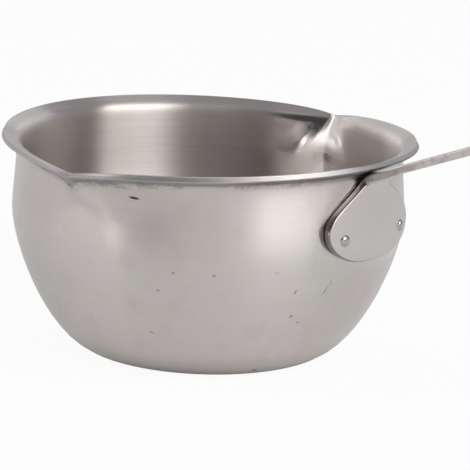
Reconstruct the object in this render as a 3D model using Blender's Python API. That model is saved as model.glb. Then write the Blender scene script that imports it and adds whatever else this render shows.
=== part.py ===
"""Butter warmer: a small drawn bowl with two pouring spouts and a riveted strap handle.

Metres, +Z up. The origin is the centre of the base's underside, the handle points along +X
and the spouts along +Y and -Y.
"""
import math

import bmesh
import bpy
from mathutils import Vector
from mathutils.geometry import interpolate_bezier

# Bowl
SHEET = 0.0018
BASE_RADIUS = 0.0352
BASE_SLOPE = math.radians(27)
BASE_FULLNESS = 0.0140
BELLY_RADIUS = 0.0568
BELLY_HEIGHT = 0.0401
BELLY_FULLNESS = 0.0095
NECK_RADIUS = 0.0557
RIM_RADIUS = 0.0601
RIM_HEIGHT = 0.0631
LIP_TURN = math.radians(65)
LIP_INNER_BEND = 0.0042
LIP_EDGE_CHAMFER = 0.0003
WALL_STEPS = 9
UPPER_WALL_STEPS = 4
LIP_STEPS = 4
QUARTER_COLUMNS = 22
COLUMN_CROWDING = 1.35

# Spouts
SPOUT_REACH = 0.0031
SPOUT_DEPTH = 0.0135
SPOUT_SPREAD = math.radians(11.3)
SPOUT_NOSE = math.radians(2.5)
SPOUT_DROP = 0.0015
RIM_SAG = 0.0014
RIM_OVAL = 0.0004
SAG_START = 0.030

# Handle
STRAP = 0.00235
SEAT_GAP = 0.0003
HANDLE_RISE = math.radians(21.4)
HANDLE_BEND = 0.0030
LIP_CLEARANCE = 0.0004
BAR_LENGTH = 0.155
NECK_WIDTH = 0.0100
NECK_PLACE = 0.0024
GRIP_WIDTH = 0.0195
GRIP_START = 0.055
END_ROUND = 0.0070
PLATE_WIDTH = 0.0376
PLATE_HEIGHT = 0.0202
PLATE_ROUND = Vector((0.0092, 0.0148))
PLATE_FULLNESS = 0.0060
NECK_FULLNESS = 0.0022
SLOT_LENGTH = 0.0140
SLOT_WIDTH = 0.0070
SLOT_MARGIN = 0.0065
STRAP_EDGE = 0.0005
STRAP_EDGE_SEGMENTS = 2
STRAP_COLUMNS = 7
ROUND_STEPS = 7
FLANK_STEPS = 12
SLOT_END_STEPS = 8
LEAST_STATION_STEP = 0.0003
LEAST_CURVE = 0.001

# Rivets
RIVET_SPACING = 0.0270
RIVET_RISE = 0.0072
SHANK_RADIUS = 0.0011
SHANK_GAP = 0.0003
DOME_RADIUS = 0.0017
DOME_HEIGHT = 0.0009
HEAD_RADIUS = 0.0042
HEAD_HEIGHT = 0.0013
CAP_STEPS = 4
CAP_FLAT = 0.0003
RIVET_SIDES = 20

# Shading
SHARP_ANGLE = math.radians(35)
BEVEL_ANGLE = math.radians(50)


def clear_scene():
    for item in list(bpy.data.objects):
        bpy.data.objects.remove(item)


def steel(name, colour, roughness):
    material = bpy.data.materials.new(name)
    material.use_nodes = True
    shader = material.node_tree.nodes["Principled BSDF"]
    shader.inputs["Base Color"].default_value = (*colour, 1)
    shader.inputs["Metallic"].default_value = 1
    shader.inputs["Roughness"].default_value = roughness
    return material


def link_mesh(name, bm, material):
    bmesh.ops.recalc_face_normals(bm, faces=bm.faces)
    mesh = bpy.data.meshes.new(name)
    bm.to_mesh(mesh)
    bm.free()
    mesh.shade_smooth()
    mesh.set_sharp_from_angle(angle=SHARP_ANGLE)
    mesh.materials.append(material)
    item = bpy.data.objects.new(name, mesh)
    bpy.context.collection.objects.link(item)
    return item


def arc(centre, radius, start, end, steps):
    angles = [start + (end - start) * k / steps for k in range(steps + 1)]
    return [centre + radius * Vector((math.cos(a), math.sin(a))) for a in angles]


def bezier(start, start_handle, end_handle, end, steps):
    points = interpolate_bezier(start.to_3d(), start_handle.to_3d(), end_handle.to_3d(), end.to_3d(), steps)
    return [point.to_2d() for point in points]


def outer_wall():
    """The wall's outside from the base's edge to the neck, as points of radius and height."""
    base = Vector((BASE_RADIUS, 0))
    belly = Vector((BELLY_RADIUS, BELLY_HEIGHT))
    neck = Vector((NECK_RADIUS, lip_centre().y))
    along_base = Vector((math.cos(BASE_SLOPE), math.sin(BASE_SLOPE)))
    up = Vector((0, 1))
    lower = bezier(base, base + BASE_FULLNESS * along_base, belly - BELLY_FULLNESS * up, belly, WALL_STEPS)
    third = (neck.y - belly.y) / 3
    upper = bezier(belly, belly + third * up, neck - third * up, neck, UPPER_WALL_STEPS)
    return lower + upper[1:]


def lip_bends():
    """The radii of the lip's bend, outside (below) and inside (above) the sheet."""
    return LIP_INNER_BEND - SHEET, LIP_INNER_BEND


def lip_centre():
    """The centre of the lip's bend, set so that the lip's top ends at the rim's height."""
    outer_bend = lip_bends()[0]
    radius = NECK_RADIUS + outer_bend
    under_end = radius - outer_bend * math.cos(LIP_TURN)
    flare = (RIM_RADIUS - under_end) / math.sin(LIP_TURN)
    rise = (outer_bend + SHEET) * math.sin(LIP_TURN) + flare * math.cos(LIP_TURN)
    return Vector((radius, RIM_HEIGHT - rise))


def lip_section():
    """The lip from the neck's outside, round the cut edge, to the neck's inside."""
    centre = lip_centre()
    outer_bend, inner_bend = lip_bends()
    along = Vector((math.sin(LIP_TURN), math.cos(LIP_TURN)))
    across = Vector((-math.cos(LIP_TURN), math.sin(LIP_TURN)))
    under = arc(centre, outer_bend, math.pi, math.pi - LIP_TURN, LIP_STEPS)
    over = arc(centre, inner_bend, math.pi - LIP_TURN, math.pi, LIP_STEPS)
    flare = (RIM_RADIUS - under[-1].x) / along.x
    corner_under = under[-1] + flare * along
    corner_over = over[0] + flare * along
    edge = [corner_under - LIP_EDGE_CHAMFER * along, corner_under + LIP_EDGE_CHAMFER * across]
    edge += [corner_over - LIP_EDGE_CHAMFER * across, corner_over - LIP_EDGE_CHAMFER * along]
    return under[1:] + edge + over


def offset_inwards(points, distance):
    """The inside of the sheet, square to the outside at every point."""
    inner = []
    for k, point in enumerate(points):
        before = points[max(k - 1, 0)]
        after = points[min(k + 1, len(points) - 1)]
        tangent = (after - before).normalized()
        inner.append(point + distance * Vector((-tangent.y, tangent.x)))
    return inner


def bowl_section():
    """The whole section from the base's edge, over the lip, to the inside of the base."""
    wall = outer_wall()
    wall_inside = offset_inwards(wall[:-1], SHEET)
    down_inside = [point for point in reversed(wall_inside) if point.y > SHEET]
    floor_edge = Vector((BASE_RADIUS - SHEET * math.tan(BASE_SLOPE / 2), SHEET))
    return wall + lip_section() + down_inside + [floor_edge]


def spout_shape(angle):
    """How far the spouts act at an angle from the handle: 1 at a spout's crease, 0 far away."""
    away = abs(math.asin(min(abs(math.cos(angle)), 1)))
    return math.exp(-(math.hypot(away, SPOUT_NOSE) - SPOUT_NOSE) / SPOUT_SPREAD)


def press(radius, height, angle):
    """Moves a point of the round bowl to its place once the spouts are pressed."""
    rise = min(max((height - SAG_START) / (RIM_HEIGHT - SAG_START), 0), 1)
    crease = min(max((height - RIM_HEIGHT + SPOUT_DEPTH) / SPOUT_DEPTH, 0), 1)
    shape = spout_shape(angle)
    sag = RIM_SAG * (1 - math.cos(2 * angle)) / 2
    radius += RIM_OVAL * math.cos(2 * angle) * rise + SPOUT_REACH * shape * crease
    height -= sag * rise ** 2 + SPOUT_DROP * shape * crease
    return Vector((radius * math.cos(angle), radius * math.sin(angle), height))


def column_angles():
    """Angles round the bowl, closer together towards each spout."""
    steps = range(QUARTER_COLUMNS, -1, -1)
    quarter = [math.pi / 2 * (1 - (k / QUARTER_COLUMNS) ** COLUMN_CROWDING) for k in steps]
    first_half = quarter + [math.pi - angle for angle in quarter[-2:0:-1]]
    return first_half + [angle + math.pi for angle in first_half]


def build_bowl(material):
    bm = bmesh.new()
    section = bowl_section()
    columns = [[bm.verts.new(press(p.x, p.y, angle)) for p in section] for angle in column_angles()]
    underside = bm.verts.new((0, 0, 0))
    floor = bm.verts.new((0, 0, SHEET))
    for column, following in zip(columns, columns[1:] + columns[:1]):
        for k in range(len(section) - 1):
            bm.faces.new((column[k], following[k], following[k + 1], column[k + 1]))
        bm.faces.new((underside, following[0], column[0]))
        bm.faces.new((floor, column[-1], following[-1]))
    return link_mesh("bowl", bm, material)


def wall_radius(height):
    """The wall's outside radius at a height, on the handle's side."""
    wall = outer_wall()
    radius = wall[-1].x
    for low, high in zip(wall, wall[1:]):
        if low.y <= height <= high.y:
            radius = low.x + (high.x - low.x) * (height - low.y) / (high.y - low.y)
    return press(radius, height, 0).x


def seat_radius(height):
    """The radius of the strap's middle where the plate lies on the wall."""
    return wall_radius(height) + SEAT_GAP + STRAP / 2


def bend_radius():
    return HANDLE_BEND + STRAP / 2


def bend_turn():
    return math.pi / 2 - HANDLE_RISE


def bend_start():
    """Radius and height of the strap's middle where it leaves the wall to pass just under the lip."""
    lip_under = lip_section()[LIP_STEPS]
    lip_edge = press(lip_under.x, lip_under.y, 0)
    bar_middle = lip_edge.z - LIP_CLEARANCE - STRAP / 2 / math.cos(HANDLE_RISE)
    lift = bend_radius() * math.sin(bend_turn())
    run = bend_radius() * (1 - math.cos(bend_turn()))
    radius = seat_radius(bar_middle - lift)
    height = bar_middle - lift - (lip_edge.x - radius - run) * math.tan(HANDLE_RISE)
    return Vector((seat_radius(height), height))


def strap_path(distance):
    """Middle of the strap and its outward normal, by the distance along it from the bend's start.

    Negative distances run down the plate, which follows the wall.
    """
    start = bend_start()
    if distance <= 0:
        height = start.y + distance
        return Vector((seat_radius(height), height)), Vector((1, 0))
    angle = min(distance / bend_radius(), bend_turn())
    normal = Vector((math.cos(angle), -math.sin(angle)))
    point = start + bend_radius() * (Vector((1, 0)) - normal)
    beyond = distance - bend_radius() * angle
    return point + beyond * Vector((math.cos(HANDLE_RISE), math.sin(HANDLE_RISE))), normal


def strap_outline():
    """Half the strap's outline, as points of distance along it and half its width."""
    bottom = Vector((-PLATE_HEIGHT, 0))
    quarter = [math.pi / 2 * k / ROUND_STEPS for k in range(ROUND_STEPS + 1)]
    flat = PLATE_WIDTH / 2 - PLATE_ROUND.y
    corner = []
    for angle in quarter:
        rounded = Vector((PLATE_ROUND.x * (1 - math.cos(angle)), PLATE_ROUND.y * math.sin(angle)))
        corner.append(bottom + Vector((0, flat)) + rounded)
    along = Vector((1, 0))
    neck = Vector((NECK_PLACE, NECK_WIDTH / 2))
    widest = corner[-1]
    flank = bezier(widest, widest + PLATE_FULLNESS * along, neck - NECK_FULLNESS * along, neck, FLANK_STEPS)
    grip = Vector((GRIP_START, GRIP_WIDTH / 2))
    third = (grip.x - neck.x) / 3
    waist = bezier(neck, neck + third * along, grip - third * along, grip, FLANK_STEPS)
    end = Vector((BAR_LENGTH - END_ROUND, GRIP_WIDTH / 2 - END_ROUND))
    tip = [end + END_ROUND * Vector((math.sin(a), math.cos(a))) for a in quarter]
    return corner + flank[1:] + waist[1:] + tip


def half_width(distance, outline):
    for near, far in zip(outline, outline[1:]):
        if near.x <= distance <= far.x:
            return near.y + (far.y - near.y) * (distance - near.x) / (far.x - near.x)
    return outline[-1].y


def strap_stations(outline):
    """Places along the strap with a cross-section: those of its outline, and steps round the bend."""
    bend_length = bend_radius() * bend_turn()
    bend = [bend_length * k / ROUND_STEPS for k in range(ROUND_STEPS + 1)]
    below = [point.x for point in outline if point.x < -LEAST_STATION_STEP]
    beyond = [point.x for point in outline if point.x > bend_length + LEAST_STATION_STEP]
    return below + bend + beyond


def strap_ring(distance, half):
    """The strap's cross-section at a place along it, wrapped round the wall where it is the plate."""
    middle, normal = strap_path(distance)
    flatness = min(max(distance / (bend_radius() * bend_turn()), 0), 1 - LEAST_CURVE)
    wrap = middle.x / (1 - flatness)
    ring = []
    for side in (-1, 1):
        for k in range(STRAP_COLUMNS + 1):
            angle = side * half * (1 - 2 * k / STRAP_COLUMNS) / wrap
            radius = wrap + side * STRAP / 2
            point = middle + normal * (radius * math.cos(angle) - wrap)
            ring.append(Vector((point.x, radius * math.sin(angle), point.y)))
    return ring


def slot_cutter():
    """A straight slot with round ends, square through the bar near its end."""
    middle, normal = strap_path(BAR_LENGTH - SLOT_MARGIN - SLOT_LENGTH / 2)
    along = Vector((math.cos(HANDLE_RISE), 0, math.sin(HANDLE_RISE)))
    through = Vector((normal.x, 0, normal.y)) * STRAP * 2
    centre = Vector((middle.x, 0, middle.y))
    straight = SLOT_LENGTH / 2 - SLOT_WIDTH / 2
    bm = bmesh.new()
    outline = []
    for end in (-1, 1):
        for k in range(SLOT_END_STEPS + 1):
            angle = math.pi * k / SLOT_END_STEPS - math.pi / 2
            forward = end * (straight + SLOT_WIDTH / 2 * math.cos(angle))
            sideways = end * SLOT_WIDTH / 2 * math.sin(angle)
            outline.append(centre - through + along * forward + Vector((0, sideways, 0)))
    face = bm.faces.new([bm.verts.new(point) for point in outline])
    extruded = bmesh.ops.extrude_face_region(bm, geom=[face])
    moved = [item for item in extruded["geom"] if isinstance(item, bmesh.types.BMVert)]
    bmesh.ops.translate(bm, verts=moved, vec=2 * through)
    return as_cutter(link_mesh("slot_cutter", bm, bpy.data.materials["handle_steel"]))


def as_cutter(item):
    item.hide_render = True
    item.display_type = "WIRE"
    return item


def cut(item, cutter):
    modifier = item.modifiers.new(cutter.name, "BOOLEAN")
    modifier.operation = "DIFFERENCE"
    modifier.solver = "EXACT"
    modifier.object = cutter


def build_handle(material):
    bm = bmesh.new()
    outline = strap_outline()
    rings = []
    for distance in strap_stations(outline):
        ring = strap_ring(distance, half_width(distance, outline))
        rings.append([bm.verts.new(point) for point in ring])
    count = len(rings[0])
    for ring, following in zip(rings, rings[1:]):
        for k in range(count):
            bm.faces.new((ring[k], ring[(k + 1) % count], following[(k + 1) % count], following[k]))
    bm.faces.new(rings[0])
    bm.faces.new(rings[-1])
    handle = link_mesh("handle", bm, material)
    cut(handle, slot_cutter())
    bevel = handle.modifiers.new("edges", "BEVEL")
    bevel.width = STRAP_EDGE
    bevel.segments = STRAP_EDGE_SEGMENTS
    bevel.limit_method = "ANGLE"
    bevel.angle_limit = BEVEL_ANGLE
    return handle


def rivet_height():
    return bend_start().y - PLATE_HEIGHT + RIVET_RISE


def rivet_angle():
    """Angle of a rivet's axis from the handle's, so that the two are the spacing apart on the plate."""
    return RIVET_SPACING / 2 / (wall_radius(rivet_height()) + SEAT_GAP + STRAP)


def rivet_lean():
    """How fast the wall's radius grows with height beside the rivets."""
    height = rivet_height()
    return (wall_radius(height + HEAD_RADIUS) - wall_radius(height - HEAD_RADIUS)) / (2 * HEAD_RADIUS)


def turned(name, points, angle, material):
    """A solid turned about an axis square to the wall. Points are radius and distance outwards."""
    bm = bmesh.new()
    radial = Vector((math.cos(angle), math.sin(angle), 0))
    sideways = Vector((-math.sin(angle), math.cos(angle), 0))
    outward = (radial - Vector((0, 0, rivet_lean()))).normalized()
    upward = outward.cross(sideways)
    origin = radial * wall_radius(rivet_height()) + Vector((0, 0, rivet_height()))
    turns = [2 * math.pi * k / RIVET_SIDES for k in range(RIVET_SIDES)]
    spokes = [sideways * math.cos(turn) + upward * math.sin(turn) for turn in turns]
    rings = []
    for radius, out in points:
        rings.append([bm.verts.new(origin + outward * out + radius * spoke) for spoke in spokes])
    for ring, following in zip(rings, rings[1:]):
        for k in range(RIVET_SIDES):
            after = (k + 1) % RIVET_SIDES
            bm.faces.new((ring[k], ring[after], following[after], following[k]))
    bm.faces.new(rings[0])
    bm.faces.new(rings[-1])
    return link_mesh(name, bm, material)


def cap(radius, height, seat, outwards):
    """A low dome as points from its rim to the small flat at its top."""
    points = []
    for k in range(CAP_STEPS):
        angle = math.pi / 2 * k / CAP_STEPS
        points.append((radius * math.cos(angle), seat + outwards * height * math.sin(angle)))
    return points + [(CAP_FLAT, seat + outwards * height)]


def wall_hollow():
    """How far the wall's inside comes forward under a rivet head's edge, round the bowl or up the wall."""
    middle = wall_radius(rivet_height())
    around = HEAD_RADIUS ** 2 / (2 * (middle - SHEET))
    lean = rivet_lean()
    steps = (-HEAD_RADIUS, HEAD_RADIUS)
    along = [middle + lean * step - wall_radius(rivet_height() + step) for step in steps]
    return max(around, *along)


def build_rivet(name, angle, material):
    head_seat = -SHEET - SEAT_GAP - wall_hollow()
    dome_seat = SEAT_GAP + STRAP + SEAT_GAP
    inner_head = cap(HEAD_RADIUS, HEAD_HEIGHT, head_seat, -1)[::-1]
    shank = [(SHANK_RADIUS, head_seat), (SHANK_RADIUS, dome_seat)]
    outer_dome = cap(DOME_RADIUS, DOME_HEIGHT, dome_seat, 1)
    return turned(name, inner_head + shank + outer_dome, angle, material)


def rivet_hole(name, angle, material):
    radius = SHANK_RADIUS + SHANK_GAP
    reach = 2 * (SHEET + SEAT_GAP + STRAP)
    return as_cutter(turned(name, [(radius, -reach), (radius, reach)], angle, material))


def main():
    clear_scene()
    bowl_material = steel("bowl_steel", (0.62, 0.59, 0.57), 0.32)
    handle_material = steel("handle_steel", (0.60, 0.59, 0.58), 0.28)
    rivet_material = steel("rivet_steel", (0.66, 0.65, 0.64), 0.20)
    bowl = build_bowl(bowl_material)
    handle = build_handle(handle_material)
    for side, sign in (("left", 1), ("right", -1)):
        angle = sign * rivet_angle()
        hole = rivet_hole("rivet_hole_" + side, angle, rivet_material)
        cut(bowl, hole)
        cut(handle, hole)
        build_rivet("rivet_" + side, angle, rivet_material)


main()
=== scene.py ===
import math

import bpy
from mathutils import Matrix, Vector


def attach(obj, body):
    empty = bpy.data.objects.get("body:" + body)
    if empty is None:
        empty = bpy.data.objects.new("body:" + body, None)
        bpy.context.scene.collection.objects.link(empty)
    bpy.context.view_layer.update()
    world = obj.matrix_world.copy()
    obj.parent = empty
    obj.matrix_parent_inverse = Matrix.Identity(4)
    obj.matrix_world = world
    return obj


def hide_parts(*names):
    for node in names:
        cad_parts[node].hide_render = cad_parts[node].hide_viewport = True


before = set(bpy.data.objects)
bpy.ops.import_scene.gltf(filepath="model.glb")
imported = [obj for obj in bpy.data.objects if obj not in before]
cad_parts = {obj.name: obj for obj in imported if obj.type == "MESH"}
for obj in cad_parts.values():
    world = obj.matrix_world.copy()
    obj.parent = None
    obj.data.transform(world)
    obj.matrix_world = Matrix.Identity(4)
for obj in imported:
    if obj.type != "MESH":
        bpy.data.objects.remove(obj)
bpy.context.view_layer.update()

# Bowl sheet, metres
SHEET = 0.0018
BASE_RADIUS = 0.0352
BASE_SLOPE = math.radians(27)
BASE_ROUND = 0.0016
BASE_FULLNESS = 0.0140
BELLY_RADIUS = 0.0568
BELLY_HEIGHT = 0.0401
BELLY_FULLNESS = 0.0095
NECK_RADIUS = 0.0557
RIM_RADIUS = 0.0601
RIM_HEIGHT = 0.0631
LIP_TURN = math.radians(65)
LIP_UNDER_BEND = 0.0024
LIP_EDGE_ROUND = 0.0003
LIP_TRIM = 0.00045
SECTION_STEPS = 14
BOWL_STEPS = 360
LIP_EDGE_SEGMENTS = 4

# Spouts: how far the pressed tip stands past the rim, the height over which it runs back to the wall
# and by how much, how softly it leaves the wall, the deeper lobe to either side of the crease, and how
# wide the spout, its tip, its crease and the kink of the wall below it are
SPOUT_REACH = 0.0031
SPOUT_DEPTH = 0.0130
SPOUT_RUN = 0.0069
SPOUT_SOFT = 0.0004
SPOUT_LOBE = 0.0042
SPOUT_LOBE_TURN = math.radians(10)
SPOUT_SPREAD = math.radians(11.3)
SPOUT_NOSE = math.radians(1.1)
CREASE_NOSE = math.radians(0.4)
NOSE_WIDENING = 3
KINK_START = 0.036
KINK_END = 0.051
KINK_SPREAD = math.radians(9)
# Each spout as pressed: its turn from square to the handle, how far the wall below it is pushed out
# and how far its tip drops
SPOUT_LEFT = (math.radians(-1.4), 0.0012, 0.0016)
SPOUT_RIGHT = (math.radians(-0.5), 0.0006, 0.0020)
# The rim sags towards the spouts, and is a little longer along the handle than across
RIM_SAG = 0.0014
RIM_OVAL = 0.0004
SAG_START = 0.030

# Handle strap
STRAP = 0.00235
SEAT_GAP = 0.0003
HANDLE_RISE = math.radians(21.4)
HANDLE_BEND = 0.0030
LIP_CLEARANCE = 0.0004
BAR_LENGTH = 0.155
NECK_WIDTH = 0.0100
NECK_PLACE = 0.0024
GRIP_WIDTH = 0.0195
GRIP_START = 0.055
END_ROUND = 0.0070
PLATE_WIDTH = 0.0376
PLATE_HEIGHT = 0.0202
PLATE_ROUND = Vector((0.0092, 0.0148))
PLATE_FULLNESS = 0.0060
NECK_FULLNESS = 0.0022
SLOT_LENGTH = 0.0140
SLOT_WIDTH = 0.0070
SLOT_MARGIN = 0.0065
STRAP_EDGE = 0.0006
STRAP_EDGE_SEGMENTS = 5
OUTLINE_STEPS = 14
# How far apart the blank is cut so that it can bend: along the plate, the bend and the bar, and across
PLATE_CUTS = 0.0011
BEND_CUTS = 0.0003
BAR_CUTS = 0.008
CROSS_CUTS = 0.0013
# A face of the blank is broad, and not side, where its upright share is above this
BROAD_FACE = 0.97
# The strap is curved like the wall at the plate, and flattens along the bend up to this share of flat
ALL_FLAT = 0.999

# Rivets
RIVET_SPACING = 0.0270
RIVET_RISE = 0.0072
DOME_RADIUS = 0.0017
DOME_HEIGHT = 0.0009
HEAD_RADIUS = 0.0042
HEAD_HEIGHT = 0.0013
HEAD_GAP = 0.0002
DOME_SINK = 0.0001
SHANK_RADIUS = 0.0011
RIVET_STEPS = 48
RIVET_SECTION_STEPS = 10

# Clad sheet: thickness of each steel layer as a share of the whole
STEEL_LAYER = 0.2

# Marks on the outside wall: angle about +Z in degrees, then height, half length and half width in
# metres, slant in degrees and darkness
DENT = (-72.9, 0.0544, 0.0020, 0.00042, -7, 0.95)
SPECKS = [
    (-25.5, 0.0286, 0.0010, 0.00040, 70, 0.55),
    (-24.9, 0.0210, 0.0008, 0.00045, 50, 0.60),
    (-21.9, 0.0187, 0.0008, 0.00035, 20, 0.50),
    (-14.9, 0.0279, 0.0021, 0.00030, 62, 0.50),
    (-13.6, 0.0300, 0.0010, 0.00028, 75, 0.35),
    (-30.8, 0.0024, 0.0012, 0.00050, 0, 0.60),
    (-32.2, 0.0348, 0.0009, 0.00040, 0, 0.22),
    (-69.3, 0.0154, 0.0011, 0.00030, -8, 0.50),
    (-50.0, 0.0343, 0.0006, 0.00050, 0, 0.45),
    (-65.8, 0.0291, 0.0006, 0.00045, 0, 0.40),
    (-61.3, 0.0345, 0.0006, 0.00050, 0, 0.40),
]
SMUDGES = [
    (-76.4, 0.0570, 0.0036, 0.00055, -2, 0.60),
    (-67.0, 0.0576, 0.0018, 0.00050, -3, 0.50),
    (-59.5, 0.0582, 0.0010, 0.00055, 0, 0.45),
    (-48.3, 0.0590, 0.0022, 0.00045, 0, 0.60),
    (-39.4, 0.0586, 0.0010, 0.00045, 0, 0.40),
]
SCUFF = (-96.1, 0.0427, 0.0038, 0.00060, -61, 0.20)

# Small dents in the inside, beside the crease: angle, height, radius and depth
INSIDE_DENTS = [
    (95.2, 0.0562, 0.0012, 0.00003),
    (92.4, 0.0556, 0.0009, 0.00002),
    (122.2, 0.0554, 0.0006, 0.00006),
]

# Modelling limits: points this close are one, how often a search closes in, how near the lip's end a
# point is on it, the angles of sharp and of flat edges, and the angles up to which pieces shade smooth
SAME_POINT = 0.000004
UNPRESS_STEPS = 12
HALVINGS = 30
AT_LIP_END = 0.00001
SHARP_EDGE = math.radians(60)
FLAT_EDGE = math.radians(1)
SMOOTH_STRAP = math.radians(35)
SMOOTH_RIVET = math.radians(40)

# Round arcs drawn with one Bezier span
QUARTER_HANDLE = 0.5523

# The two axes of a section or an outline
UP = Vector((0, 1))
ALONG = Vector((1, 0))

# Anisotropy of the brushed steel, and the turn that lays its lines round the bowl
OUTSIDE_BRUSHING = 0.85
INSIDE_BRUSHING = 1.0
LINES_ROUND = 0.25

# Where finishes, painted shade and a painted highlight fade in or out up the sheet, as radius plus height
# on the round bowl
LIP_UNDERSIDE = (0.1156, 0.1176)
GRIME_START = (0.1130, 0.1162)
GRIME_END = (0.1200, 0.1212)
INSIDE_LIP = (0.1125, 0.1165)
BURNISH_START = (0.0995, 0.1035)
RUB_AND_HIGHLIGHT_START = (0.078, 0.086)

# Where they fade in from either side of a spout, as the share of the radius that points to the handle
BURNISH_SIDES = ((0.26, 0.10), (-0.42, -0.16))
RUB_AND_HIGHLIGHT_SIDES = ((0.16, 0.06), (-0.35, -0.22))

# Heights over which the painted shade at the foot of the wall, a broad fade and a thin dark line, gives way
# to the steel's colour
FOOT_SHADE = (0.0, 0.009)
FOOT_SHADE_LINE = (0.0, 0.0035)

# Distances towards the handle where the painted shade under the lip deepens and the painted shade on the
# lip's cut edge starts, and where the strap's side turns from the plate's painted dark reflection to the
# bar's own colour
LIP_SHADE_TO_HANDLE = (0.038, 0.048)
EDGE_SHADE_TO_HANDLE = (0.040, 0.049)
BAR_START = (0.0575, 0.0615)

# The smooth wall round the plate: the height where the plate's neck starts to widen, how fast and
# from what half width, and how the smooth wall fades out beside, under and behind the plate
PLATE_NECK_TOP = 0.0565
PLATE_SPREAD = 1.15
PLATE_NECK_HALF = 0.0060
BESIDE_PLATE = (0.0044, -0.0006)
UNDER_PLATE = (0.0290, 0.0345)
HANDLE_SIDE = (0.0, 0.01)

# Bumps are given as a share of this height, metres
BUMP_UNIT = 0.001

# Camera
VIEW_TURN = math.radians(37.8)
VIEW_RISE = math.radians(13.36)
VIEW_ROLL = math.radians(1.80)
VIEW_DISTANCE = 0.72
VIEW_TARGET = Vector((0, 0, 0.036))
VIEW_NEAREST = 0.01
FOCAL_PIXELS = 2473.4
FRAME_PIXELS = 470
CENTRE_PIXEL = Vector((207.64, 221.49))
SENSOR = 36

# Floor: its size, how far it lies under the pan, and how much of its look comes from its own even
# white, for the camera and for mirrors
FLOOR_SIZE = 12
FLOOR_GAP = 0.0001
FLOOR_WHITE_SEEN = 0.94
FLOOR_WHITE_MIRRORED = 0.35

# The room that the steel mirrors: sines of the heights where its pale horizon ends, and a dark corner
# given by its azimuth and elevation, with the cosines of the angles where its soft edge starts and ends
HORIZON_TOP = (math.sin(math.radians(12)), math.sin(math.radians(30)))
HORIZON_COLOUR = (0.53, 0.51, 0.53)
ROOM_COLOUR = (0.36, 0.355, 0.38)
DARK_CORNER = (-38, 36)
DARK_CORNER_EDGE = (math.cos(math.radians(30)), math.cos(math.radians(17)))
DARK_CORNER_COLOUR = (0.06, 0.06, 0.065)

# Softboxes: name, azimuth, elevation, width and height in degrees as the pan sees them, level, colour
SOFTBOX_DISTANCE = 1.6
SOFTBOXES = [
    ("key_right", 53, 35, 44, 40, 3.70, (1, 0.98, 0.965)),
    ("window_left", -82, 42, 9, 26, 4.20, (1, 0.97, 0.99)),
    ("window_left_low", -54, 6, 11, 12, 3.20, (1, 0.95, 0.90)),
    ("glow_left", -80, 11, 36, 18, 0.74, (1, 0.92, 0.92)),
    ("fill_left", -115, 30, 45, 38, 0.44, (1, 0.94, 0.94)),
    ("back_left", -155, 20, 30, 34, 0.49, (0.95, 0.99, 1)),
    ("back_right", 150, 24, 45, 24, 0.44, (0.88, 0.94, 1)),
    ("glow_front", -40, 4, 20, 10, 0.50, (1, 0.92, 0.90)),
    ("front_low", 5, 10, 60, 18, 0.60, (1, 0.85, 0.80)),
    ("overhead", 20, 72, 50, 24, 0.22, (0.75, 0.94, 1)),
]


def deselect():
    if bpy.context.object and bpy.context.object.mode == "EDIT":
        bpy.ops.object.mode_set(mode="OBJECT")
    bpy.ops.object.select_all(action="DESELECT")


def pick(item):
    deselect()
    item.select_set(True)
    bpy.context.view_layer.objects.active = item
    return item


def arc_handle(radius, turn):
    """Length of the handles that make a Bezier span follow an arc."""
    return 4 / 3 * math.tan(turn / 4) * radius


def place_flat(point, flat):
    return (point.x, point.y, 0) if flat else (point.x, 0, point.y)


def draw_curve(name, splines, steps, flat=False):
    """A curve object from lists of (point, handle before, handle after) in the plane's own two axes."""
    deselect()
    bpy.ops.curve.primitive_bezier_curve_add(location=(0, 0, 0))
    item = bpy.context.object
    item.name = name
    curve = item.data
    curve.dimensions = "2D" if flat else "3D"
    curve.splines.clear()
    for points in splines:
        spline = curve.splines.new("BEZIER")
        spline.bezier_points.add(len(points) - 1)
        spline.use_cyclic_u = flat
        for knot, (point, before, after) in zip(spline.bezier_points, points):
            knot.handle_left_type = "FREE"
            knot.handle_right_type = "FREE"
            knot.co = place_flat(point, flat)
            knot.handle_left = place_flat(before, flat)
            knot.handle_right = place_flat(after, flat)
    curve.resolution_u = steps
    if flat:
        curve.fill_mode = "BOTH"
    return item


def to_mesh(item):
    pick(item)
    bpy.ops.object.convert(target="MESH")
    return bpy.context.object


def spin_round(item, steps):
    """Turns a section in the XZ plane about +Z into a closed round sheet."""
    pick(item)
    bpy.ops.object.mode_set(mode="EDIT")
    bpy.ops.mesh.select_all(action="SELECT")
    bpy.ops.mesh.spin(steps=steps, angle=2 * math.pi, center=(0, 0, 0), axis=(0, 0, 1))
    bpy.ops.mesh.select_all(action="SELECT")
    bpy.ops.mesh.remove_doubles(threshold=SAME_POINT)
    bpy.ops.mesh.normals_make_consistent(inside=False)
    bpy.ops.object.mode_set(mode="OBJECT")


def round_edges(radius, segments):
    """Rounds the selected edges."""
    bpy.ops.mesh.bevel(offset=radius, offset_type="OFFSET", segments=segments, affect="EDGES")


def face_outwards(item):
    """Turns an open sheet's faces so that its base looks down."""
    if min(item.data.polygons, key=lambda face: face.center.z).normal.z > 0:
        bpy.ops.object.mode_set(mode="EDIT")
        bpy.ops.mesh.select_all(action="SELECT")
        bpy.ops.mesh.flip_normals()
        bpy.ops.object.mode_set(mode="OBJECT")


def lip_centre():
    """The centre of the lip's bend, set so that the lip's top ends at the rim's height."""
    radius = NECK_RADIUS + LIP_UNDER_BEND
    under_end = radius - LIP_UNDER_BEND * math.cos(LIP_TURN)
    flare = (RIM_RADIUS - under_end) / math.sin(LIP_TURN)
    rise = (LIP_UNDER_BEND + SHEET) * math.sin(LIP_TURN) + flare * math.cos(LIP_TURN)
    return Vector((radius, RIM_HEIGHT - rise))


def lip_under_end():
    """Where the lip's bend ends and its straight flare begins, on the sheet's underside."""
    turn = Vector((-math.cos(LIP_TURN), math.sin(LIP_TURN)))
    return lip_centre() + LIP_UNDER_BEND * turn


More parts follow.
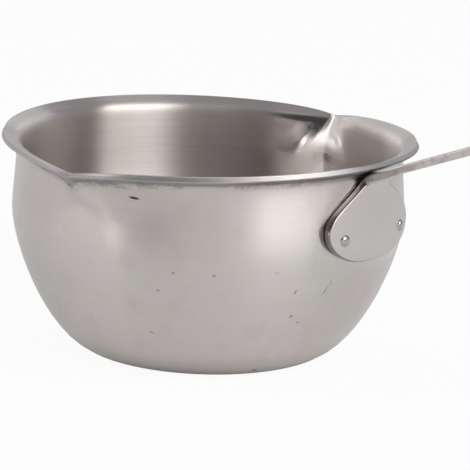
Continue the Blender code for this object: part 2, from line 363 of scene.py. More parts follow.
def bowl_section():
    """The sheet's outside from the middle of the base to the lip's end, as radius and height."""
    slope = Vector((math.cos(BASE_SLOPE), math.sin(BASE_SLOPE)))
    flare = Vector((math.sin(LIP_TURN), math.cos(LIP_TURN)))
    corner = Vector((BASE_RADIUS, 0))
    base_end = corner - BASE_ROUND * ALONG
    rise_start = corner + BASE_ROUND * slope
    belly = Vector((BELLY_RADIUS, BELLY_HEIGHT))
    neck = Vector((NECK_RADIUS, lip_centre().y))
    third = (neck.y - belly.y) / 3
    bend = arc_handle(LIP_UNDER_BEND, LIP_TURN)
    bend_end = lip_under_end()
    lip_end = bend_end + (RIM_RADIUS - bend_end.x) / flare.x * flare
    inner_third = (lip_end - bend_end) / 3
    round_handle = BASE_ROUND / 2
    middle = Vector((0, 0))
    return [
        (middle, middle, base_end / 3),
        (base_end, base_end * 2 / 3, base_end + round_handle * ALONG),
        (rise_start, rise_start - round_handle * slope, rise_start + (BASE_FULLNESS - BASE_ROUND) * slope),
        (belly, belly - BELLY_FULLNESS * UP, belly + third * UP),
        (neck, neck - third * UP, neck + bend * UP),
        (bend_end, bend_end - bend * flare, bend_end + inner_third),
        (lip_end, lip_end - inner_third, lip_end),
    ]


def press(point):
    """Moves a point of the round bowl to its place once the spouts are pressed."""
    radius = math.hypot(point.x, point.y)
    angle = math.atan2(point.y, point.x)
    turn, kink, drop = SPOUT_LEFT if angle > 0 else SPOUT_RIGHT
    away = abs(math.asin(max(min(math.cos(angle - turn), 1), -1)))
    rise = min(max((point.z - SAG_START) / (RIM_HEIGHT - SAG_START), 0), 1)
    lip = min(max((point.z - KINK_END) / (RIM_HEIGHT - KINK_END), 0), 1)
    nose = CREASE_NOSE + (SPOUT_NOSE - CREASE_NOSE) * min(NOSE_WIDENING * lip, 1)
    blunt = math.hypot(away, nose) - nose
    way = min(max((point.z - KINK_START) / (KINK_END - KINK_START), 0), 1)
    pushed = radius + kink * way * way * (3 - 2 * way) * math.exp(-blunt / KINK_SPREAD)
    lobe = max(1 - abs(away / SPOUT_LOBE_TURN - 1), 0)
    depth = SPOUT_DEPTH + SPOUT_LOBE * lobe * lobe * (3 - 2 * lobe)
    below = RIM_HEIGHT - point.z
    fold = RIM_RADIUS + SPOUT_REACH - SPOUT_RUN * below / depth - pushed
    grown = min(max((point.z - SAG_START) / (BELLY_HEIGHT - SAG_START), 0), 1)
    shape = math.exp(-blunt / SPOUT_SPREAD) * grown * grown * (3 - 2 * grown)
    out = pushed + shape * (fold + math.hypot(fold, SPOUT_SOFT)) / 2
    out += RIM_OVAL * math.cos(2 * angle) * rise
    sag = RIM_SAG * (1 - math.cos(2 * angle)) / 2
    height = point.z - sag * rise ** 2 - drop * shape * max(1 - below / depth, 0)
    return Vector((out * math.cos(angle), out * math.sin(angle), height))


def unpress(point):
    """Where a point of the pressed bowl was on the round one, found by steps that close in on it."""
    guess = point.copy()
    for _ in range(UNPRESS_STEPS):
        guess += point - press(guess)
    return guess


def store_sheet_place(item):
    """Keeps each point's place on the round sheet: its run up the section and its layer in the cut edge."""
    across = Vector((-math.cos(LIP_TURN), math.sin(LIP_TURN)))
    corner = bowl_section()[-1][0]
    run = item.data.attributes.new("run", "FLOAT", "POINT")
    layer = item.data.attributes.new("layer", "FLOAT", "POINT")
    for vertex, run_value, layer_value in zip(item.data.vertices, run.data, layer.data):
        round_place = unpress(vertex.co)
        section = Vector((math.hypot(round_place.x, round_place.y), round_place.z))
        run_value.value = section.x + section.y
        layer_value.value = (section - corner).dot(across) / SHEET


def trim_lip(item, lip, count):
    """Cuts the lip's end nearly upright: each inner corner point, numbered on by count, moves back."""
    for index in lip:
        corner = item.data.vertices[index + count]
        level = Vector((corner.co.x, corner.co.y, 0)).normalized()
        corner.co -= LIP_TRIM * (level * math.sin(LIP_TURN) + Vector((0, 0, math.cos(LIP_TURN))))


def select_lip_corners(item, lip, count):
    """Selects the outer and the inner corner of the lip's end, all the way round."""
    for corner in (set(lip), {index + count for index in lip}):
        for line in item.data.edges:
            line.select = line.select or set(line.vertices) <= corner


def build_bowl(outside, inside, edge):
    item = to_mesh(draw_curve("steel_bowl", [bowl_section()], SECTION_STEPS))
    spin_round(item, BOWL_STEPS)
    count = len(item.data.vertices)
    end = bowl_section()[-1][0]
    lip = [v.index for v in item.data.vertices if math.hypot(v.co.x, v.co.y) > end.x - AT_LIP_END]
    for vertex in item.data.vertices:
        vertex.co = press(vertex.co)
    face_outwards(item)
    for material in (outside, inside, edge):
        item.data.materials.append(material)
    solidify = item.modifiers.new("sheet", "SOLIDIFY")
    solidify.thickness = SHEET
    solidify.offset = -1
    solidify.use_even_offset = True
    solidify.material_offset = 1
    solidify.material_offset_rim = 2
    bpy.ops.object.modifier_apply(modifier="sheet")
    trim_lip(item, lip, count)
    bpy.ops.object.mode_set(mode="EDIT")
    bpy.ops.mesh.select_mode(type="EDGE")
    bpy.ops.mesh.select_all(action="DESELECT")
    bpy.ops.object.mode_set(mode="OBJECT")
    select_lip_corners(item, lip, count)
    bpy.ops.object.mode_set(mode="EDIT")
    round_edges(LIP_EDGE_ROUND, LIP_EDGE_SEGMENTS)
    bpy.ops.object.mode_set(mode="OBJECT")
    bpy.ops.object.shade_smooth()
    store_sheet_place(item)
    return item


def wall_radius(height):
    """The wall's outside radius at a height up to the neck, on the handle's side."""
    neck = Vector((NECK_RADIUS, lip_centre().y))
    if height >= BELLY_HEIGHT:
        way = min((height - BELLY_HEIGHT) / (neck.y - BELLY_HEIGHT), 1)
        radius = BELLY_RADIUS + (NECK_RADIUS - BELLY_RADIUS) * way * way * (3 - 2 * way)
    else:
        radius = lower_wall_radius(height)
    return press(Vector((radius, 0, height))).x


def lower_wall_radius(height):
    """The radius on the span from the base to the belly, found by halving."""
    slope = Vector((math.cos(BASE_SLOPE), math.sin(BASE_SLOPE)))
    start = Vector((BASE_RADIUS, 0))
    belly = Vector((BELLY_RADIUS, BELLY_HEIGHT))
    knots = [start, start + BASE_FULLNESS * slope, belly - BELLY_FULLNESS * UP, belly]
    low, high = 0.0, 1.0
    for _ in range(HALVINGS):
        middle = (low + high) / 2
        if on_bezier(knots, middle).y < height:
            low = middle
        else:
            high = middle
    return on_bezier(knots, low).x


def on_bezier(knots, way):
    start, after, before, end = knots
    back = 1 - way
    middle = 3 * back * back * way * after + 3 * back * way * way * before
    return back ** 3 * start + middle + way ** 3 * end


def seat_radius(height):
    return wall_radius(height) + SEAT_GAP + STRAP / 2


def bend_radius():
    return HANDLE_BEND + STRAP / 2


def bend_turn():
    return math.pi / 2 - HANDLE_RISE


def bend_start():
    """Radius and height of the strap's middle where it leaves the wall to pass just under the lip."""
    under = lip_under_end()
    lip_edge = press(Vector((under.x, 0, under.y)))
    bar_middle = lip_edge.z - LIP_CLEARANCE - STRAP / 2 / math.cos(HANDLE_RISE)
    lift = bend_radius() * math.sin(bend_turn())
    run = bend_radius() * (1 - math.cos(bend_turn()))
    radius = seat_radius(bar_middle - lift)
    height = bar_middle - lift - (lip_edge.x - radius - run) * math.tan(HANDLE_RISE)
    return Vector((seat_radius(height), height))


def strap_path(distance):
    """Middle of the strap and its outward normal, by the distance along it from the bend's start."""
    start = bend_start()
    if distance <= 0:
        height = start.y + distance
        return Vector((seat_radius(height), height)), Vector((1, 0))
    angle = min(distance / bend_radius(), bend_turn())
    normal = Vector((math.cos(angle), -math.sin(angle)))
    point = start + bend_radius() * (Vector((1, 0)) - normal)
    beyond = distance - bend_radius() * angle
    return point + beyond * Vector((math.cos(HANDLE_RISE), math.sin(HANDLE_RISE))), normal


def strap_knots():
    """The flat blank's outline: distance along the strap, and width across it."""
    half = PLATE_WIDTH / 2
    round_x = QUARTER_HANDLE * PLATE_ROUND.x
    round_y = QUARTER_HANDLE * PLATE_ROUND.y
    tip_round = QUARTER_HANDLE * END_ROUND
    grip_half = GRIP_WIDTH / 2
    bottom = Vector((-PLATE_HEIGHT, half - PLATE_ROUND.y))
    widest = Vector((-PLATE_HEIGHT + PLATE_ROUND.x, half))
    neck = Vector((NECK_PLACE, NECK_WIDTH / 2))
    grip = Vector((GRIP_START, grip_half))
    third = (grip.x - neck.x) / 3
    shoulder = Vector((BAR_LENGTH - END_ROUND, grip_half))
    tip = Vector((BAR_LENGTH, grip_half - END_ROUND))
    side = [
        (bottom, bottom - bottom.y / 3 * UP, bottom + round_y * UP),
        (widest, widest - round_x * ALONG, widest + PLATE_FULLNESS * ALONG),
        (neck, neck - NECK_FULLNESS * ALONG, neck + third * ALONG),
        (grip, grip - third * ALONG, grip + third * ALONG),
        (shoulder, shoulder - third * ALONG, shoulder + tip_round * ALONG),
        (tip, tip + tip_round * UP, tip - tip.y / 3 * UP),
    ]
    mirrored = [tuple(Vector((p.x, -p.y)) for p in (point, after, before)) for point, before, after in side]
    return side + mirrored[::-1]


def slot_knots():
    centre = BAR_LENGTH - SLOT_MARGIN - SLOT_LENGTH / 2
    radius = SLOT_WIDTH / 2
    straight = SLOT_LENGTH / 2 - radius
    handle = QUARTER_HANDLE * radius
    knots = []
    for end in (1, -1):
        side = Vector((centre + end * straight, end * radius))
        tip = Vector((centre + end * (straight + radius), 0))
        other = Vector((side.x, -side.y))
        knots.append((side, side - end * straight / 2 * ALONG, side + end * handle * ALONG))
        knots.append((tip, tip + end * handle * UP, tip - end * handle * UP))
        knots.append((other, other + end * handle * ALONG, other - end * straight / 2 * ALONG))
    return knots


def cut_along(item, axis, places):
    """Cuts the whole mesh square to one of its axes at each place."""
    pick(item)
    bpy.ops.object.mode_set(mode="EDIT")
    normal = [1 if k == axis else 0 for k in range(3)]
    for place in places:
        bpy.ops.mesh.select_all(action="SELECT")
        bpy.ops.mesh.bisect(plane_co=[place * n for n in normal], plane_no=normal)
    bpy.ops.object.mode_set(mode="OBJECT")


def spread(start, end, step):
    count = max(round((end - start) / step), 1)
    return [start + (end - start) * (k + 0.5) / count for k in range(count)]


def build_handle(face, side):
    item = draw_curve("strap_handle", [strap_knots(), slot_knots()], OUTLINE_STEPS, flat=True)
    item = to_mesh(item)
    bpy.ops.object.mode_set(mode="EDIT")
    bpy.ops.mesh.select_all(action="SELECT")
    bpy.ops.mesh.remove_doubles(threshold=SAME_POINT)
    bpy.ops.mesh.dissolve_limited(angle_limit=FLAT_EDGE, delimit=set())
    bpy.ops.mesh.select_all(action="SELECT")
    bpy.ops.mesh.extrude_region_move(TRANSFORM_OT_translate={"value": (0, 0, STRAP)})
    bpy.ops.mesh.select_all(action="SELECT")
    bpy.ops.transform.translate(value=(0, 0, -STRAP / 2))
    bpy.ops.mesh.normals_make_consistent(inside=False)
    bpy.ops.mesh.select_mode(type="EDGE")
    bpy.ops.mesh.select_all(action="DESELECT")
    bpy.ops.mesh.edges_select_sharp(sharpness=SHARP_EDGE)
    round_edges(STRAP_EDGE, STRAP_EDGE_SEGMENTS)
    bpy.ops.object.mode_set(mode="OBJECT")
    bend_end = bend_radius() * bend_turn()
    cut_along(item, 0, spread(-PLATE_HEIGHT, 0, PLATE_CUTS))
    cut_along(item, 0, spread(0, bend_end, BEND_CUTS))
    cut_along(item, 0, spread(bend_end, BAR_LENGTH, BAR_CUTS))
    cut_along(item, 1, spread(-PLATE_WIDTH / 2, PLATE_WIDTH / 2, CROSS_CUTS))
    item.data.materials.append(face)
    item.data.materials.append(side)
    for polygon in item.data.polygons:
        polygon.material_index = 0 if abs(polygon.normal.z) > BROAD_FACE else 1
    for vertex in item.data.vertices:
        vertex.co = on_strap(vertex.co)
    pick(item)
    bpy.ops.object.shade_smooth_by_angle(angle=SMOOTH_STRAP)
    weighted = item.modifiers.new("flat faces", "WEIGHTED_NORMAL")
    weighted.keep_sharp = True
    bpy.ops.object.modifier_apply(modifier="flat faces")
    return item


def on_strap(flat):
    """Moves a point of the flat blank to its place on the wall, round the bend or along the bar."""
    middle, normal = strap_path(flat.x)
    flatness = min(max(flat.x / (bend_radius() * bend_turn()), 0), ALL_FLAT)
    wrap = middle.x / (1 - flatness)
    angle = flat.y / wrap
    radius = wrap - flat.z
    point = middle + normal * (radius * math.cos(angle) - wrap)
    return Vector((point.x, radius * math.sin(angle), point.y))


def rivet_height():
    return bend_start().y - PLATE_HEIGHT + RIVET_RISE


def rivet_angle():
    return RIVET_SPACING / 2 / (wall_radius(rivet_height()) + SEAT_GAP + STRAP)


def rivet_lean():
    """How fast the wall's radius grows with height beside the rivets."""
    height = rivet_height()
    return (wall_radius(height + HEAD_RADIUS) - wall_radius(height - HEAD_RADIUS)) / (2 * HEAD_RADIUS)


def rivet_section():
    """The rivet's outside from the middle of its inner head to the top of its outer dome."""
    head_seat = -SHEET - HEAD_GAP
    dome_seat = SEAT_GAP + STRAP - DOME_SINK
    head_middle = Vector((0, head_seat - HEAD_HEIGHT))
    head_side = Vector((HEAD_RADIUS, head_seat))
    shank_low = Vector((SHANK_RADIUS, head_seat))
    shank_high = Vector((SHANK_RADIUS, dome_seat))
    dome_side = Vector((DOME_RADIUS, dome_seat))
    dome_top = Vector((0, dome_seat + DOME_HEIGHT))
    head_handle = QUARTER_HANDLE * HEAD_RADIUS
    head_drop = QUARTER_HANDLE * HEAD_HEIGHT
    dome_handle = QUARTER_HANDLE * DOME_RADIUS
    dome_rise = QUARTER_HANDLE * DOME_HEIGHT
    return [
        (head_middle, head_middle, head_middle + head_handle * ALONG),
        (head_side, head_side - head_drop * UP, head_side - HEAD_RADIUS / 4 * ALONG),
        (shank_low, shank_low + HEAD_RADIUS / 4 * ALONG, shank_low + SHEET / 2 * UP),
        (shank_high, shank_high - SHEET / 2 * UP, shank_high + SHANK_RADIUS / 4 * ALONG),
        (dome_side, dome_side - SHANK_RADIUS / 4 * ALONG, dome_side + dome_rise * UP),
        (dome_top, dome_top + dome_handle * ALONG, dome_top),
    ]


def build_rivet(name, side, material):
    item = to_mesh(draw_curve(name, [rivet_section()], RIVET_SECTION_STEPS))
    spin_round(item, RIVET_STEPS)
    angle = side * rivet_angle()
    radial = Vector((math.cos(angle), math.sin(angle), 0))
    outward = (radial - Vector((0, 0, rivet_lean()))).normalized()
    origin = radial * wall_radius(rivet_height()) + Vector((0, 0, rivet_height()))
    turn = outward.to_track_quat("Z", "Y").to_matrix().to_4x4()
    item.data.transform(Matrix.Translation(origin) @ turn)
    item.data.materials.append(material)
    pick(item)
    bpy.ops.object.shade_smooth_by_angle(angle=SMOOTH_RIVET)
    return item


class Signal:
    """An output socket of a node tree, with arithmetic that adds Math nodes."""

    def __init__(self, tree, socket):
        self.tree = tree
        self.socket = socket

    def math(self, operation, *values):
        node = self.tree.nodes.new("ShaderNodeMath")
        node.operation = operation
        for place, value in zip(node.inputs, values):
            if isinstance(value, Signal):
                self.tree.links.new(value.socket, place)
            else:
                place.default_value = value
        return Signal(self.tree, node.outputs[0])

    def __add__(self, other):
        return self.math("ADD", self, other)

    def __sub__(self, other):
        return self.math("SUBTRACT", self, other)

    def __mul__(self, other):
        return self.math("MULTIPLY", self, other)

    def __truediv__(self, other):
        return self.math("DIVIDE", self, other)

    def __pow__(self, other):
        return self.math("POWER", self, other)

    def __rsub__(self, other):
        return self.math("SUBTRACT", other, self)

    __radd__ = __add__
    __rmul__ = __mul__


class Finish:
    """A steel finish: one material, its shader and the nodes that vary it."""

    def __init__(self, name, roughness, colour, anisotropic=0, rotation=0):
        self.material = bpy.data.materials.new(name)
        self.material.use_nodes = True
        self.tree = self.material.node_tree
        self.shader = self.tree.nodes["Principled BSDF"]
        self.shader.inputs["Metallic"].default_value = 1
        self.shader.inputs["Roughness"].default_value = roughness
        self.shader.inputs["Base Color"].default_value = (*colour, 1)
        self.shader.inputs["Anisotropic"].default_value = anisotropic
        self.shader.inputs["Anisotropic Rotation"].default_value = rotation

    def node(self, kind, settings, output, **sockets):
        """Adds a node: its settings first, then the values or links of its sockets."""
        node = self.tree.nodes.new(kind)
        for name, value in settings.items():
            setattr(node, name, value)
        for name, value in sockets.items():
            number = name[1:]
            place = node.inputs[int(number) if number.isdigit() else name.replace("_", " ")]
            if isinstance(value, Signal):
                self.tree.links.new(value.socket, place)
            else:
                place.default_value = value
        return Signal(self.tree, node.outputs[output])

    def feed(self, socket, signal):
        self.tree.links.new(signal.socket, self.shader.inputs[socket])

    def place(self):
        """The piece's own three coordinates, in metres."""
        whole = self.node("ShaderNodeTexCoord", {}, "Object")
        return [self.node("ShaderNodeSeparateXYZ", {}, axis, Vector=whole) for axis in "XYZ"]

    def attribute(self, name):
        return self.node("ShaderNodeAttribute", {"attribute_name": name}, "Fac")

    def noise(self, x, y, z, detail=2.0, roughness=0.5):
        """Soft noise from 0 to 1, about one blot for each step of 1 in its coordinates."""
        vector = self.node("ShaderNodeCombineXYZ", {}, "Vector", X=x, Y=y, Z=z)
        shape = {"Scale": 1.0, "Detail": detail, "Roughness": roughness}
        return self.node("ShaderNodeTexNoise", {}, 0, Vector=vector, **shape)

    def fade(self, value, start, end):
        """0 before start, 1 after end and a soft slope between."""
        settings = {"interpolation_type": "SMOOTHSTEP"}
        return self.node("ShaderNodeMapRange", settings, 0, Value=value, From_Min=start, From_Max=end)

    def blend(self, share, first, second):
        """A colour between two others."""
        first = first if isinstance(first, Signal) else (*first, 1)
        second = second if isinstance(second, Signal) else (*second, 1)
        return self.node("ShaderNodeMix", {"data_type": "RGBA"}, 2, _0=share, _6=first, _7=second)

    def emboss(self, height):
        """Raises the surface by BUMP_UNIT where the height is 1."""
        bump = self.node("ShaderNodeBump", {}, 0, Strength=1.0, Distance=BUMP_UNIT, Height=height)
        self.feed("Normal", bump)

    def spot(self, x, y, z, mark, ragged):
        """1 in the middle of a mark on the wall and 0 outside it, with a ragged edge."""
        angle, height, half_length, half_width, slant, _ = mark
        turn = math.radians(angle)
        tilt = math.radians(slant)
        sideways = y * math.cos(turn) - x * math.sin(turn)
        ahead = x * math.cos(turn) + y * math.sin(turn)
        facing = ahead.math("GREATER_THAN", ahead, 0)
        up = z - height
        along = (sideways * math.cos(tilt) + up * math.sin(tilt)) / half_length
        across = (up * math.cos(tilt) - sideways * math.sin(tilt)) / half_width
        distance = (along * along + across * across) ** 0.5 + ragged
        return self.fade(distance, 1.0, 0.35) * facing


def outside_steel():
    """Satin steel with fine lines round the bowl, faint stains, grime under the lip and a few marks, with
    painted shade at the foot and on the lip's underside.
    """
    finish = Finish("satin_outside", 0.36, (0.62, 0.58, 0.565), OUTSIDE_BRUSHING, LINES_ROUND)
    x, y, z = finish.place()
    run = finish.attribute("run")
    lines = finish.noise(x * 42, y * 42, run * 2300, 3.0, 0.6)
    streaks = finish.noise(x * 60, y * 60, run * 520, 2.0)
    clouds = finish.noise(x * 62 + 4.3, y * 62, z * 62, 3.0, 0.55)
    stains = finish.noise(x * 120 - 2.0, y * 120, z * 105 + 7.0, 3.0, 0.6)
    speckle = finish.noise(x * 1300, y * 1300, z * 1500, 2.0)
    colour = finish.blend(finish.fade(clouds, 0.36, 0.64), (0.610, 0.590, 0.550), (0.633, 0.585, 0.579))
    colour = finish.blend(finish.fade(stains, 0.50, 0.78) * 0.35, colour, (0.50, 0.475, 0.43))
    brushed = finish.noise(x * 24, y * 24, run * 1500, 3.0, 0.7)
    colour = finish.blend(finish.fade(brushed, 0.32, 0.72) * 0.17, colour, (0.50, 0.465, 0.445))
    # Painted shade: the foot of the wall darkens towards the bottom, standing in for the shadowed floor it
    # mirrors
    low = (1 - finish.fade(z, *FOOT_SHADE)) * 0.45 + (1 - finish.fade(z, *FOOT_SHADE_LINE)) * 0.42
    colour = finish.blend(low, colour, (0.25, 0.23, 0.22))
    # Painted shade under the lip: a dark band on the lip's underside, deeper towards the handle, standing
    # in for the dark floor it mirrors
    underside = finish.fade(run, *LIP_UNDERSIDE) * (0.55 + finish.fade(x, *LIP_SHADE_TO_HANDLE) * 0.4)
    colour = finish.blend(underside, colour, (0.22, 0.205, 0.20))
    ragged = (finish.noise(x * 1500, y * 1500, z * 2600, 2.0) - 0.5) * 1.1
    under_lip = finish.fade(run, *GRIME_START) * (1 - finish.fade(run, *GRIME_END))
    patches = finish.noise(x * 95, y * 95, z * 260, 3.0, 0.7)
    grime = under_lip * finish.fade(patches + speckle * 0.55, 0.62, 1.0)
    for mark in SMUDGES:
        spot = finish.spot(x, y, z, mark, ragged) * mark[-1]
        grime = grime.math("MAXIMUM", grime, spot * finish.fade(speckle, 0.30, 0.55))
    dark = finish.spot(x, y, z, DENT, ragged * 0.25) * DENT[-1]
    dent = dark
    for mark in SPECKS:
        dark = dark.math("MAXIMUM", dark, finish.spot(x, y, z, mark, ragged) * mark[-1])
    scuff = finish.spot(x, y, z, SCUFF, ragged) * SCUFF[-1]
    colour = finish.blend(scuff, colour, (0.56, 0.42, 0.40))
    colour = finish.blend(grime * 0.68, colour, (0.20, 0.18, 0.19))
    colour = finish.blend(dark, colour, (0.035, 0.028, 0.028))
    finish.feed("Base Color", colour)
    rough = 0.33 + lines * 0.05 + streaks * 0.03 + grime * 0.25 + dark * 0.2
    finish.feed("Roughness", rough - by_plate(finish, x, y, z) * 0.16)
    waves = finish.noise(x * 55, y * 55, z * 50 + 3.0, 1.0)
    height = lines * 0.0012 + streaks * 0.0035 + waves * 0.09 - dent * 0.12
    finish.emboss(height)
    return finish.material


def by_plate(finish, x, y, z):
    """1 on the wall close round the handle's plate, which stays smoother than the rest."""
    half = (PLATE_NECK_TOP - z) * PLATE_SPREAD + PLATE_NECK_HALF
    half = half.math("MINIMUM", half, PLATE_WIDTH / 2)
    beside = finish.fade(y.math("ABSOLUTE", y) - half, *BESIDE_PLATE)
    return beside * finish.fade(z, *UNDER_PLATE) * finish.fade(x, *HANDLE_SIDE)


def between(finish, value, sides):
    """1 between two soft sides, each given from where it is 0 to where it is 1."""
    high, low = sides
    return finish.fade(value, *high) * finish.fade(value, *low)


def inside_steel():
    """Finely brushed steel, burnished and worn smoother at the spouts, with a painted highlight where it is
    worn and small dents beside the crease.
    """
    finish = Finish("brushed_inside", 0.44, (0.62, 0.57, 0.55), INSIDE_BRUSHING, LINES_ROUND)
    x, y, z = finish.place()
    run = finish.attribute("run")
    lines = finish.noise(x * 30, y * 30, run * 2600, 3.0, 0.6)
    rings = finish.noise(x * 14, y * 14, run * 420, 3.0, 0.6)
    clouds = finish.noise(x * 80, y * 80, z * 40, 3.0)
    colour = finish.blend(finish.fade(clouds, 0.40, 0.66), (0.668, 0.612, 0.587), (0.643, 0.612, 0.562))
    brushed = finish.noise(x * 20, y * 20, run * 1400, 3.0, 0.7)
    colour = finish.blend(finish.fade(brushed, 0.32, 0.72) * 0.24, colour, (0.46, 0.43, 0.41))
    on_lip = finish.fade(run, *INSIDE_LIP)
    to_handle = x / (x * x + y * y) ** 0.5
    burnished = between(finish, to_handle, BURNISH_SIDES) * finish.fade(run, *BURNISH_START)
    rubbed_and_highlight = between(finish, to_handle, RUB_AND_HIGHLIGHT_SIDES) * finish.fade(run, *RUB_AND_HIGHLIGHT_START) * (1 - on_lip)
    colour = finish.blend(finish.fade(rings, 0.55, 0.72) * 0.3, colour, (0.52, 0.49, 0.46))
    # Painted highlight: where the sheet is worn beside each spout its colour is paler than the steel,
    # standing in for a bright reflection
    finish.feed("Base Color", finish.blend(rubbed_and_highlight * (1 - burnished), colour, (0.84, 0.80, 0.77)))
    satin = 0.41 + lines * 0.05 + rings * 0.03 - on_lip * 0.18 - rubbed_and_highlight * 0.12
    finish.feed("Roughness", satin * (1 - burnished) + 0.13 * burnished)
    height = lines * 0.0010 + rings * 0.003
    for angle, level, radius, depth in INSIDE_DENTS:
        mark = (angle, level, radius, radius, 0, 1)
        height = height - finish.spot(x, y, z, mark, 0.0) * (depth / BUMP_UNIT)
    finish.emboss(height)
    return finish.material


def cut_edge_steel():
    """The sheet's cut edge: a softer core between two steel layers, with a dark line at each joint, and
    painted shade on its outer layer towards the handle.
    """
    finish = Finish("cut_edge", 0.38, (0.52, 0.51, 0.50))
    x, y, z = finish.place()
    layer = finish.attribute("layer")
    worn = (finish.noise(x * 400, y * 400, z * 400, 2.0) - 0.5) * 0.12
    core = finish.fade(layer + worn, STEEL_LAYER - 0.04, STEEL_LAYER + 0.04)
    core = core * (1 - finish.fade(layer + worn, 0.96 - STEEL_LAYER, 1.04 - STEEL_LAYER))
    joints = core * (1 - core) * 4
    # Painted shade: the outer steel layer of the cut edge turns dark towards the handle, standing in for a
    # dark reflection
    painted_edge_shade = finish.fade(x, *EDGE_SHADE_TO_HANDLE) * (1 - finish.fade(layer, 0.10, 0.30))
    colour = finish.blend(core, (0.54, 0.53, 0.52), (0.42, 0.415, 0.41))
    colour = finish.blend(painted_edge_shade * 0.9, colour, (0.10, 0.095, 0.095))
    finish.feed("Base Color", finish.blend(joints * 0.35, colour, (0.18, 0.17, 0.17)))
    finish.feed("Roughness", 0.36 + core * 0.08 + worn)
    finish.emboss(core * -0.02 - joints * 0.02)
    return finish.material


def strap_face_steel():
    """Satin steel of the strap's broad faces, with faint scratches and soft stains."""
    finish = Finish("satin_strap", 0.36, (0.60, 0.585, 0.575))
    x, y, z = finish.place()
    grain = finish.noise(x * 900, y * 3200, z * 900, 2.0)
    clouds = finish.noise(x * 110, y * 110, z * 110, 3.0)
    scratches = finish.noise(x * 160 + y * 90, y * 1700 - z * 500, z * 160, 3.0, 0.7)
    thin = finish.fade(scratches, 0.64, 0.72)
    colour = finish.blend(finish.fade(clouds, 0.35, 0.68), (0.605, 0.585, 0.578), (0.585, 0.575, 0.555))
    finish.feed("Base Color", finish.blend(thin * 0.25, colour, (0.42, 0.38, 0.35)))
    finish.feed("Roughness", 0.34 + grain * 0.05 + clouds * 0.03)
    finish.emboss(grain * 0.0015 - thin * 0.004 + clouds * 0.03)
    return finish.material


def strap_side_steel():
    """The strap's tumbled sides, smoother than its faces, with fine pits; the plate's sides carry a painted
    dark reflection.
    """
    finish = Finish("polished_strap_side", 0.12, (0.62, 0.59, 0.575))
    x, y, z = finish.place()
    pits = finish.noise(x * 900, y * 900, z * 1500, 3.0, 0.7)
    grain = finish.noise(x * 260, y * 260, z * 900, 3.0)
    spots = finish.fade(pits, 0.60, 0.74)
    blotches = finish.noise(x * 420, y * 420, z * 420, 3.0, 0.6)
    bar = finish.blend(finish.fade(blotches, 0.45, 0.70), (0.60, 0.565, 0.55), (0.46, 0.43, 0.42))
    # Painted dark reflection: the plate's sides get a far darker steel colour than the bar's sides
    colour = finish.blend(finish.fade(x, *BAR_START), (0.27, 0.25, 0.24), bar)
    finish.feed("Base Color", finish.blend(spots * 0.35, colour, (0.24, 0.21, 0.20)))
    finish.feed("Roughness", 0.08 + grain * 0.07 + spots * 0.12)
    finish.emboss(grain * 0.006 - spots * 0.006)
    return finish.material


def rivet_polish():
    """Polished steel with faint wear, painted darker than the steel as a painted dark reflection."""
    finish = Finish("rivet_steel", 0.14, (0.66, 0.65, 0.64))
    x, y, z = finish.place()
    wear = finish.noise(x * 1500, y * 1500, z * 1500, 2.0)
    # Painted dark reflection: both tones sit well below the steel's own colour, and the wear noise varies
    # between them
    colour = finish.blend(finish.fade(wear, 0.5, 0.8), (0.46, 0.45, 0.44), (0.30, 0.29, 0.28))
    finish.feed("Base Color", colour)
    finish.feed("Roughness", 0.06 + wear * 0.08)
    finish.emboss(wear * 0.006)
    return finish.material


def studio_floor():
    """A pale floor that looks white and keeps the pan's shadow."""
    deselect()
    bpy.ops.mesh.primitive_plane_add(size=FLOOR_SIZE, location=(0, 0, -FLOOR_GAP))
    floor = bpy.context.object
    floor.name = "floor"
    finish = Finish("pale_floor", 0.9, (0.82, 0.82, 0.82))
    finish.shader.inputs["Metallic"].default_value = 0
    finish.shader.inputs["Specular IOR Level"].default_value = 0
    camera = finish.node("ShaderNodeLightPath", {}, "Is Camera Ray")
    mirror = finish.node("ShaderNodeLightPath", {}, "Is Glossy Ray")
    glass = finish.node("ShaderNodeLightPath", {}, "Is Transmission Ray")
    share = camera * FLOOR_WHITE_SEEN + (mirror + glass) * FLOOR_WHITE_MIRRORED
    white = finish.node("ShaderNodeEmission", {}, 0, Strength=1.0)
    matt = Signal(finish.tree, finish.shader.outputs[0])
    mixed = finish.node("ShaderNodeMixShader", {}, 0, _0=share, _1=matt, _2=white)
    finish.tree.links.new(mixed.socket, finish.tree.nodes["Material Output"].inputs["Surface"])
    floor.data.materials.append(finish.material)


def towards(azimuth, elevation):
    """A direction, in degrees to the right of the viewer's side as the pan sees it and above the floor."""
    turn = VIEW_TURN + math.radians(azimuth)
    rise = math.radians(elevation)
    return Vector((math.sin(turn) * math.cos(rise), -math.cos(turn) * math.cos(rise), math.sin(rise)))


def studio_camera():
    camera = bpy.data.objects.new("camera", bpy.data.cameras.new("camera"))
    bpy.context.collection.objects.link(camera)
    look = Vector((
        -math.sin(VIEW_TURN) * math.cos(VIEW_RISE),
        math.cos(VIEW_TURN) * math.cos(VIEW_RISE),
        -math.sin(VIEW_RISE),
    ))
    turn = look.to_track_quat("-Z", "Y").to_matrix().to_4x4() @ Matrix.Rotation(VIEW_ROLL, 4, "Z")
    camera.matrix_world = Matrix.Translation(VIEW_TARGET - VIEW_DISTANCE * look) @ turn
    camera.data.sensor_width = SENSOR
    camera.data.lens = SENSOR * FOCAL_PIXELS / FRAME_PIXELS
    camera.data.shift_x = (FRAME_PIXELS / 2 - CENTRE_PIXEL.x) / FRAME_PIXELS
    camera.data.shift_y = (CENTRE_PIXEL.y - FRAME_PIXELS / 2) / FRAME_PIXELS
    camera.data.clip_start = VIEW_NEAREST
    bpy.context.scene.camera = camera


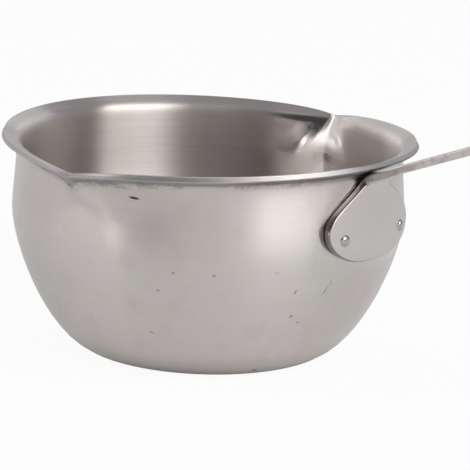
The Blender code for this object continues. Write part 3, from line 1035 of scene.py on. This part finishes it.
def softbox(name, azimuth, elevation, wide, tall, level, colour):
    """A flat lamp that faces the pan. The level is what a surface that mirrors it sees."""
    lamp = bpy.data.lights.new(name, "AREA")
    lamp.shape = "RECTANGLE"
    lamp.size = 2 * SOFTBOX_DISTANCE * math.tan(math.radians(wide / 2))
    lamp.size_y = 2 * SOFTBOX_DISTANCE * math.tan(math.radians(tall / 2))
    lamp.energy = level * math.pi * lamp.size * lamp.size_y
    lamp.color = colour
    item = bpy.data.objects.new(name, lamp)
    bpy.context.collection.objects.link(item)
    direction = towards(azimuth, elevation)
    item.location = direction * SOFTBOX_DISTANCE + VIEW_TARGET
    item.rotation_euler = (-direction).to_track_quat("-Z", "Y").to_euler()
    return item


def shade_between(tree, value, edge, first, second):
    """The first colour below the edge's start and the second above its end."""
    fade = tree.nodes.new("ShaderNodeMapRange")
    fade.interpolation_type = "SMOOTHSTEP"
    fade.inputs["From Min"].default_value = edge[0]
    fade.inputs["From Max"].default_value = edge[1]
    tree.links.new(value, fade.inputs["Value"])
    mix = tree.nodes.new("ShaderNodeMix")
    mix.data_type = "RGBA"
    for place, colour in ((mix.inputs[6], first), (mix.inputs[7], second)):
        if isinstance(colour, tuple):
            place.default_value = (*colour, 1)
        else:
            tree.links.new(colour, place)
    tree.links.new(fade.outputs[0], mix.inputs[0])
    return mix.outputs[2]


def studio_world():
    """White where the camera looks, and for the lighting a pale horizon under a darker room."""
    world = bpy.data.worlds.new("studio")
    bpy.context.scene.world = world
    world.use_nodes = True
    tree = world.node_tree
    coordinates = tree.nodes.new("ShaderNodeTexCoord")
    split = tree.nodes.new("ShaderNodeSeparateXYZ")
    tree.links.new(coordinates.outputs["Generated"], split.inputs[0])
    corner = tree.nodes.new("ShaderNodeVectorMath")
    corner.operation = "DOT_PRODUCT"
    corner.inputs[1].default_value = towards(*DARK_CORNER)
    tree.links.new(coordinates.outputs["Generated"], corner.inputs[0])
    room = shade_between(tree, split.outputs["Z"], HORIZON_TOP, HORIZON_COLOUR, ROOM_COLOUR)
    room = shade_between(tree, corner.outputs["Value"], DARK_CORNER_EDGE, room, DARK_CORNER_COLOUR)
    dim = tree.nodes["Background"]
    tree.links.new(room, dim.inputs["Color"])
    white = tree.nodes.new("ShaderNodeBackground")
    white.inputs["Color"].default_value = (1, 1, 1, 1)
    path = tree.nodes.new("ShaderNodeLightPath")
    mix = tree.nodes.new("ShaderNodeMixShader")
    tree.links.new(path.outputs["Is Camera Ray"], mix.inputs[0])
    tree.links.new(dim.outputs[0], mix.inputs[1])
    tree.links.new(white.outputs[0], mix.inputs[2])
    tree.links.new(mix.outputs[0], tree.nodes["World Output"].inputs["Surface"])


def main():
    bowl = build_bowl(outside_steel(), inside_steel(), cut_edge_steel())
    handle = build_handle(strap_face_steel(), strap_side_steel())
    rivet = rivet_polish()
    left = build_rivet("rivet_dome_left", 1, rivet)
    right = build_rivet("rivet_dome_right", -1, rivet)
    for item, node, slot in (
        (bowl, "bowl", "bowl_steel"),
        (handle, "handle", "handle_steel"),
        (left, "rivet_left", "rivet_steel"),
        (right, "rivet_right", "rivet_steel"),
    ):
        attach(item, "root")
        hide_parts(node)
    studio_floor()
    studio_camera()
    studio_world()
    for box in SOFTBOXES:
        softbox(*box)
    bpy.context.scene.view_settings.view_transform = "Standard"


main()
